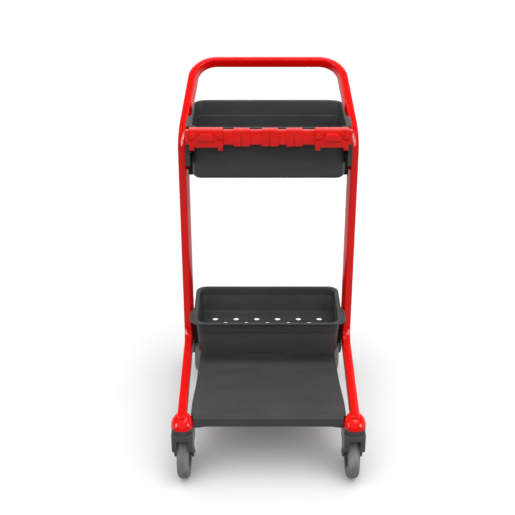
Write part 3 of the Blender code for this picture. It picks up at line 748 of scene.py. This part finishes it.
def axle_mesh():
    """A hexagonal bolt head on one side and a nut on the other, with the shank between."""
    centre = (0.0, TRAIL, WHEEL_RADIUS)
    shank = [(0.0, -LEG_HALF), (AXLE_RADIUS, -LEG_HALF), (AXLE_RADIUS, LEG_HALF), (0.0, LEG_HALF)]
    axle = link("axle", lathe(shank, 32, "x", centre))
    near = LEG_HALF + 0.0001
    far = LEG_HALF + BOLT_THICKNESS
    for low, high in ((-far, -near), (near, far)):
        head = [(0.0, low), (0.0058, low), (0.0062, (low + high) / 2.0)]
        head += [(0.0062, high), (0.0, high)]
        join(axle, lathe(head, 6, "x", centre))
    return axle


def make_castors():
    """Four copies of each castor part, which is made once, round the swivel axis."""
    masters = [
        ("hood", fork_mesh(), "castor_", "castor_plastic", ["castor_fork_"], 0.0007),
        ("wheel_centre", core_mesh(), "wheel_", "castor_plastic", ["wheel_core_"], 0.0004),
        ("tyre_ring", tyre_mesh(), "wheel_", "grey_tyre", ["tyre_"], 0.0),
        ("bolt", axle_mesh(), "castor_", "steel", ["axle_"], 0.0003),
    ]
    for kind, master, prefix, slot, nodes, bevel in masters:
        for name, x, y in CASTORS:
            obj = bpy.data.objects.new(kind + "_" + name, master.data.copy())
            bpy.context.scene.collection.objects.link(obj)
            place = Matrix.Translation((x, FRONT_AXIS_Y + y, 0.0))
            piece(obj, prefix + name, slot, [node + name for node in nodes],
                  bevel=bevel, place=place)
        bpy.data.objects.remove(master, do_unlink=True)


# ---------------------------------------------------------------- shelf

def shelf_outline():
    """Right half of the shelf's plan outline, which runs round the front cup."""
    right = [(x, SHELF_FRONT_Y) for x in (0.04, 0.08, 0.11, 0.13, 0.142, 0.150, 0.157)]
    x, y = FRONT_CASTOR
    for k in range(9):
        turn = math.radians(186.0 - 6.0 * k)
        right.append((x + CUP_CLEARANCE * math.cos(turn), y + CUP_CLEARANCE * math.sin(turn)))
    right += [(0.1736, 0.040), (0.1727, 0.070), (0.1690, 0.130), (0.1668, 0.190), (0.1660, 0.250)]
    right += [(0.1652, 0.310), (0.1645, 0.355)]
    for k in range(1, 11):
        turn = math.radians(9.0 * k)
        right.append((0.1445 + 0.020 * math.cos(turn), 0.365 + 0.020 * math.sin(turn)))
    right += [(0.110, SHELF_BACK_Y), (0.05, SHELF_BACK_Y)]
    return right


def flare(x, y):
    """How far the shelf's skirt hangs lower beside the front cups."""
    share = min(1.0, max(0.0, (abs(x) - 0.135) / 0.030))
    share *= min(1.0, max(0.0, (0.040 - y) / 0.020))
    return SHELF_FLARE * share * share * (3.0 - 2.0 * share)


def inset(outline, distance):
    """Moves each point of an anticlockwise outline inwards, across the line of its neighbours."""
    moved = []
    count = len(outline)
    for i, (x, y) in enumerate(outline):
        px, py = outline[i - 1]
        nx, ny = outline[(i + 1) % count]
        along = Vector((nx - px, ny - py)).normalized()
        moved.append((x - along.y * distance, y + along.x * distance))
    return moved


def make_shelf():
    """A tray with its hollow underneath, and a grid of ribs in that hollow."""
    right = shelf_outline()
    outline = right + [(-x, y) for x, y in reversed(right)]
    levels = [(SHELF_WALL + 0.0005, SHELF_TOP_Z - SHELF_WALL)]
    levels += [(SHELF_WALL, SHELF_BOTTOM_Z + 0.0004), (SHELF_WALL - 0.0004, SHELF_BOTTOM_Z)]
    levels += [(0.0004, SHELF_BOTTOM_Z), (0.0, SHELF_BOTTOM_Z + 0.0004)]
    for k in range(6):
        angle = math.radians(18.0 * k)
        levels.append((SHELF_EDGE * (1.0 - math.cos(angle)),
                       SHELF_TOP_Z - SHELF_EDGE * (1.0 - math.sin(angle))))
    rings = []
    for distance, z in levels:
        drop = 1.0 if z < SHELF_BOTTOM_Z + 0.001 else 0.0
        rings.append([(x, y, z - drop * flare(x, y)) for x, y in inset(outline, distance)])
    piece(link("shelf_tray", loft(rings)), "frame", "grey_plastic", ["bottom_shelf"], crease=40.0)
    rib_top = SHELF_TOP_Z - SHELF_WALL + 0.0005
    middle = (RIB_BOTTOM_Z + rib_top) / 2.0
    height = rib_top - RIB_BOTTOM_Z
    ribs = bmesh.new()
    for x in RIB_PLACES_X:
        add_box(ribs, (x, SHELF_BACK_Y / 2.0, middle), (RIB_WALL, SHELF_BACK_Y - 0.006, height))
    for y in RIB_PLACES_Y:
        add_box(ribs, (0.0, y, middle), (RIB_SPAN_X, RIB_WALL, height))
    piece(link("shelf_ribs", ribs), "frame", "grey_plastic")


# ---------------------------------------------------------------- bins

def bin_ring(half, front, back, radius, z, ear=None):
    """A level ring of a bin: a rounded rectangle, whose front part is ear wide if that is given."""
    wide = half if ear is None else ear
    steps = 12
    right = []
    for k in range(steps + 1):
        angle = math.radians(-90.0 + 90.0 * k / steps)
        right.append((wide - radius + radius * math.cos(angle),
                      front + radius + radius * math.sin(angle)))
    for k in range(13):
        part = k / 12
        ease = part * part * (3.0 - 2.0 * part)
        y = EAR_END_Y + (EAR_FADE_Y - EAR_END_Y) * part
        right.append((wide + (half - wide) * ease, y))
    for k in range(steps + 1):
        angle = math.radians(90.0 * k / steps)
        right.append((half - radius + radius * math.cos(angle),
                      back - radius + radius * math.sin(angle)))
    return [(x, y, z) for x, y in right] + [(-x, y, z) for x, y in reversed(right)]


def bin_rings(b):
    """Rings up the outside of bin b, over its lip and down the inside to its floor.

    A bin whose floor lies above its bottom stands on a skirt, and the rings start inside it.
    """
    span = b["step"] - b["bottom"]

    def wall(z, inward):
        lean = b["taper"] * max(0.0, b["step"] - z) / span
        shrink = inward + lean
        return bin_ring(b["half"] - shrink, b["front"] + shrink, b["back"] - shrink,
                        max(0.004, b["radius"] - shrink), z)

    def lip(z, inward):
        return bin_ring(b["lip_half"] - inward, b["lip_front"] + inward, b["lip_back"] - inward,
                        b["lip_radius"] - inward, z, b["ear"] - inward)

    rings = []
    if b["floor"] > b["bottom"]:
        rings.append(wall(b["floor"], BIN_WALL))
        rings.append(wall(b["bottom"], BIN_WALL))
        rings.append(wall(b["bottom"], b["rounding"] * 0.2))
        rings.append(wall(b["bottom"] + b["rounding"] * 0.6, 0.0))
    else:
        for k in range(13):
            angle = math.radians(90.0 * k / 12)
            rings.append(wall(b["bottom"] + b["rounding"] * (1.0 - math.cos(angle)),
                              b["rounding"] * (1.0 - math.sin(angle))))
    rings.append(wall(b["step"] - 0.0012, 0.0))
    rings.append(wall(b["step"] - 0.0002, -0.0010))
    rings.append(wall(b["step"] + 0.0006, -0.0014))
    rings.append(wall(b["top"] - LIP_DEPTH - 0.0008, -0.0014))
    rings.append(wall(b["top"] - LIP_DEPTH, -0.0022))
    rings.append(lip(b["top"] - LIP_DEPTH - 0.0002, 0.0010))
    rings.append(lip(b["top"] - LIP_DEPTH * 0.75, 0.0001))
    rings.append(lip(b["top"] - LIP_DEPTH * 0.45, 0.0))
    rings.append(lip(b["top"] - LIP_DEPTH * 0.15, 0.0004))
    rings.append(lip(b["top"], 0.0013))
    for drop, inward in ((0.0, -0.0022), (0.0006, -0.0008), (0.0018, 0.0006)):
        rings.append(wall(b["top"] - drop, inward))
    rings.append(wall(b["top"] - 0.0032, BIN_WALL - 0.0014))
    rings.append(wall(b["ridge"] + 0.0008, BIN_WALL - 0.0014))
    rings.append(wall(b["ridge"] - 0.0008, BIN_WALL))
    floor_top = b["floor"] + BIN_WALL
    for k in range(7):
        angle = math.radians(15.0 * k)
        rings.append(wall(floor_top + FLOOR_ROUNDING * (1.0 - math.sin(angle)),
                          BIN_WALL + FLOOR_ROUNDING * (1.0 - math.cos(angle))))
    return rings


def drain_holes():
    """Cutters for the staggered rows of holes, of six and five in turn."""
    bm = bmesh.new()
    for row in range(HOLE_ROWS):
        y = HOLE_LAST_Y - HOLE_PITCH_Y * row
        count = 6 if row % 2 == 0 else 5
        for k in range(count):
            x = (k - (count - 1) / 2.0) * HOLE_PITCH_X
            place = Matrix.Translation((x, y, LOWER_BIN["floor"] + BIN_WALL / 2.0))
            bmesh.ops.create_cone(bm, cap_ends=True, segments=32, radius1=HOLE_RADIUS,
                                  radius2=HOLE_RADIUS, depth=0.012, matrix=place)
    return bm


def make_bins():
    lower = link("pierced_bin", loft(bin_rings(LOWER_BIN)))
    cut(lower, drain_holes())
    back = LOWER_BIN["back"]
    cut(lower, box(-SKIRT_CUT_HALF, SKIRT_CUT_HALF, back - 0.006, back + 0.01,
                   SKIRT_CUT_LOW_Z, SKIRT_CUT_TOP_Z))
    piece(lower, "lower_bin", "grey_plastic", ["lower_bin"], crease=40.0)
    upper = link("plain_bin", loft(bin_rings(UPPER_BIN)))
    piece(upper, "upper_bin", "grey_plastic", ["upper_bin"], crease=40.0)


# ---------------------------------------------------------------- rail

def leaning_edge(front, top, radius):
    """The rounded upper edge of a section whose front leans back above RAIL_LEAN_Z."""
    lean = (top - radius - RAIL_LEAN_Z) * math.tan(math.radians(RAIL_LEAN))
    points = []
    for k in range(9):
        angle = math.radians(90.0 + (90.0 - RAIL_LEAN) * k / 8)
        points.append((front + lean + radius + radius * math.cos(angle),
                       top - radius + radius * math.sin(angle)))
    return points


def rail_section():
    points = [(RAIL_BACK_Y, RAIL_BOTTOM_Z), (RAIL_BACK_Y, RAIL_TOP_Z)]
    points += leaning_edge(RAIL_FRONT_Y, RAIL_TOP_Z, RAIL_ROUNDING)
    points += [(RAIL_FRONT_Y, RAIL_LEAN_Z), (RAIL_FRONT_Y, RAIL_BOTTOM_Z + RAIL_CHAMFER)]
    points += [(RAIL_FRONT_Y + RAIL_CHAMFER, RAIL_BOTTOM_Z)]
    return points


def wrap_section(front, bottom, top):
    """Section of a piece that hangs on the rail: hooked over its top and turned under it."""
    back = RAIL_BACK_Y + WRAP_HOOK
    inner = RAIL_FRONT_Y - WRAP_GAP
    under = RAIL_FRONT_Y + WRAP_UNDER
    inner_lean = (RAIL_TOP_Z + WRAP_GAP - RAIL_LEAN_Z) * math.tan(math.radians(RAIL_LEAN))
    points = [(RAIL_BACK_Y + WRAP_GAP, WRAP_HOOK_Z), (back, WRAP_HOOK_Z)]
    points += [(back, top - 0.001), (back - 0.001, top)]
    points += leaning_edge(front, top, WRAP_ROUNDING)
    points += [(front, RAIL_LEAN_Z), (front, bottom), (under, bottom)]
    points += [(under, RAIL_BOTTOM_Z - WRAP_GAP), (inner, RAIL_BOTTOM_Z - WRAP_GAP)]
    points += [(inner, RAIL_LEAN_Z), (inner + inner_lean, RAIL_TOP_Z + WRAP_GAP)]
    points += [(RAIL_BACK_Y + WRAP_GAP, RAIL_TOP_Z + WRAP_GAP)]
    return points


def side_box(middle, edge, inner, outer, y0, y1, z0, z1):
    """A box between inner and outer from the X place middle, on the side that edge gives."""
    x0, x1 = sorted((middle + edge * inner, middle + edge * outer))
    return box(x0, x1, y0, y1, z0, z1)


def make_module(side, sign):
    """The wide hook block: an arched hump between two dark recesses, over two notched feet."""
    low, high = sorted((sign * MODULE_INNER_X, sign * MODULE_OUTER_X))
    middle = (low + high) / 2.0
    front = MODULE_FRONT_Y
    section = wrap_section(front, MODULE_BOTTOM_Z, MODULE_TOP_Z)
    module = link("hook_block_" + side, prism(section, "x", low, high))
    for edge in (-1.0, 1.0):
        wedge = [(0.0290, RECESS_Z), (0.0200, 0.7768), (0.0125, 0.7805), (0.0136, 0.7740)]
        wedge += [(0.0186, RECESS_Z)]
        recess = [(middle + edge * x, z) for x, z in wedge]
        cut(module, prism(recess, "y", CUT_START_Y, front + 0.0042))
        cut(module, side_box(middle, edge, 0.0235, 0.045, CUT_START_Y, front + 0.0040,
                             RECESS_Z, STEP_Z))
        join(module, side_box(middle, edge, 0.0262, 0.0352, front - 0.0012, front + 0.0020,
                              STEP_Z, 0.7778))
        join(module, side_box(middle, edge, 0.0252, 0.0357, front + 0.0006, front + 0.0086,
                              0.7420, 0.7515))
        button = [(0.0, -0.0012), (0.0020, -0.0012), (0.0024, -0.0006)]
        button += [(0.0024, 0.004), (0.0, 0.004)]
        stud = lathe(button, 20, "x")
        turn = Matrix.Rotation(math.radians(90.0), 3, "Z")
        bmesh.ops.rotate(stud, verts=stud.verts, matrix=turn)
        place = (middle + edge * STUD_X, front + 0.0006, STUD_Z)
        bmesh.ops.translate(stud, verts=stud.verts, vec=place)
        join(module, stud)
    arch = []
    for k in range(13):
        angle = math.radians(15.0 * k)
        arch.append((middle + 0.0178 * math.cos(angle), 0.7650 + 0.0142 * math.sin(angle) ** 0.75))
    join(module, prism(arch, "y", front - 0.0042, front + 0.0030))
    piece(module, "frame", "red_plastic", ["hook_module_" + side], bevel=0.0004)


def make_clip(side, x):
    """A small clip of two jaws with a leaning slit between them."""
    section = wrap_section(CLIP_FRONT_Y, CLIP_BOTTOM_Z, CLIP_TOP_Z)
    clip = link("clip_" + side, prism(section, "x", x - CLIP_HALF, x + CLIP_HALF))
    low = 0.7490
    slit = [(x - 0.0042, low), (x + 0.0008, low), (x + 0.0003, 0.7790), (x - 0.0016, 0.7790)]
    cut(clip, prism(slit, "y", CUT_START_Y, CLIP_FRONT_Y + 0.0026))
    cut(clip, box(x + 0.0008, x + 0.030, CUT_START_Y, CLIP_FRONT_Y + 0.0007, low, 0.7800))
    cut(clip, box(x - 0.0150, x - 0.0142, CUT_START_Y, CLIP_FRONT_Y + 0.0010, low, 0.7800))
    piece(clip, "frame", "red_plastic", ["tool_clip_" + side], bevel=0.0004)


def make_rail():
    rail = link("rail_bar", prism(rail_section(), "x", -RAIL_HALF, RAIL_HALF))
    piece(rail, "frame", "red_plastic", ["tool_rail"], bevel=0.0004)
    for side, sign in SIDES:
        make_module(side, sign)
    for side, x in CLIPS:
        make_clip(side, x)


# ---------------------------------------------------------------- stage

def colour_cad_nodes():
    """Gives every CAD node its slot's material, for the nodes that stay visible."""
    slots = {entry["node"]: entry["material_slot"] for entry in frame["record"]["subparts"]}
    for name, obj in frame["nodes"].items():
        obj.data.materials.clear()
        obj.data.materials.append(SLOTS[slots[name]])


def area_light(name, place, target, size, power):
    data = bpy.data.lights.new(name, "AREA")
    data.shape = "RECTANGLE"
    data.size, data.size_y = size
    data.energy = power
    obj = bpy.data.objects.new(name, data)
    obj.location = place
    obj.rotation_euler = (Vector(target) - Vector(place)).to_track_quat("-Z", "Y").to_euler()
    bpy.context.scene.collection.objects.link(obj)
    return obj


def make_world():
    """A soft studio light, and for reflections another one that is dark in front."""
    world = bpy.data.worlds.new("studio")
    bpy.context.scene.world = world
    world.use_nodes = True
    tree = world.node_tree

    def spread(value, start, end, low, high):
        node = add_node(tree, "ShaderNodeMapRange", map_range(value, start, end, low, high))
        node.interpolation_type = "SMOOTHSTEP"
        return node.outputs[0]

    def times(a, b):
        return add_node(tree, "ShaderNodeMath", {0: a, 1: b}, operation="MULTIPLY").outputs[0]

    def plus(a, b):
        return add_node(tree, "ShaderNodeMath", {0: a, 1: b}, operation="ADD").outputs[0]

    way = tree.nodes.new("ShaderNodeTexCoord").outputs["Generated"]
    parts = tree.nodes.new("ShaderNodeSeparateXYZ")
    tree.links.new(way, parts.inputs[0])
    x, y, z = parts.outputs
    front_and_up = plus(times(y, -0.5), times(z, 0.866))
    key = spread(front_and_up, 0.72, 0.97, 0.0, 2.3)
    sky = spread(z, 0.0, 1.0, 0.13, 0.84)
    bounce = times(spread(z, -0.30, 0.05, 0.36, 0.0), spread(y, -0.3, 0.6, 1.0, 0.4))
    soft = times(plus(plus(sky, bounce), key), spread(x, -1.0, 1.0, 0.92, 1.08))
    walls = times(spread(y, -0.45, 0.45, 0.03, 1.25), spread(z, 0.46, 0.64, 1.0, 0.08))
    ground = spread(z, -0.25, -0.05, 0.28, 0.0)
    gloss = plus(times(walls, spread(z, -0.60, -0.38, 0.15, 1.0)), ground)
    glossy = tree.nodes.new("ShaderNodeLightPath").outputs["Is Glossy Ray"]
    strength = add_node(tree, "ShaderNodeMix", {0: glossy, 2: soft, 3: gloss}).outputs[0]
    tree.links.new(strength, tree.nodes["Background"].inputs["Strength"])
    tree.nodes["Background"].inputs["Color"].default_value = (1.0, 1.0, 1.0, 1.0)


def make_stage():
    bm = bmesh.new()
    bmesh.ops.create_grid(bm, x_segments=2, y_segments=2, size=FLOOR_HALF)
    floor = link("floor", bm)
    floor.data.materials.append(pale_floor())
    floor.visible_diffuse = False
    floor.visible_glossy = False
    make_world()
    area_light("top_softbox", SOFTBOX_PLACE, SOFTBOX_TARGET, SOFTBOX_SIZE, SOFTBOX_POWER)
    for side, sign in SIDES:
        place = Vector(STRIP_PLACE) * Vector((sign, 1.0, 1.0))
        strip = area_light("strip_light_" + side, place, STRIP_TARGET, STRIP_SIZE, STRIP_POWER)
        strip.visible_diffuse = False

    bpy.context.scene.view_settings.view_transform = "Standard"

    data = bpy.data.cameras.new("camera")
    data.sensor_width = CAMERA_SENSOR
    data.lens = CAMERA_LENS
    data.clip_end = 60.0
    camera = bpy.data.objects.new("camera", data)
    camera.location = CAMERA_PLACE
    camera.rotation_euler = (math.radians(CAMERA_TILT), 0.0, 0.0)
    bpy.context.scene.collection.objects.link(camera)
    bpy.context.scene.camera = camera


colour_cad_nodes()
make_frame()
make_castors()
make_shelf()
make_bins()
make_rail()
make_stage()
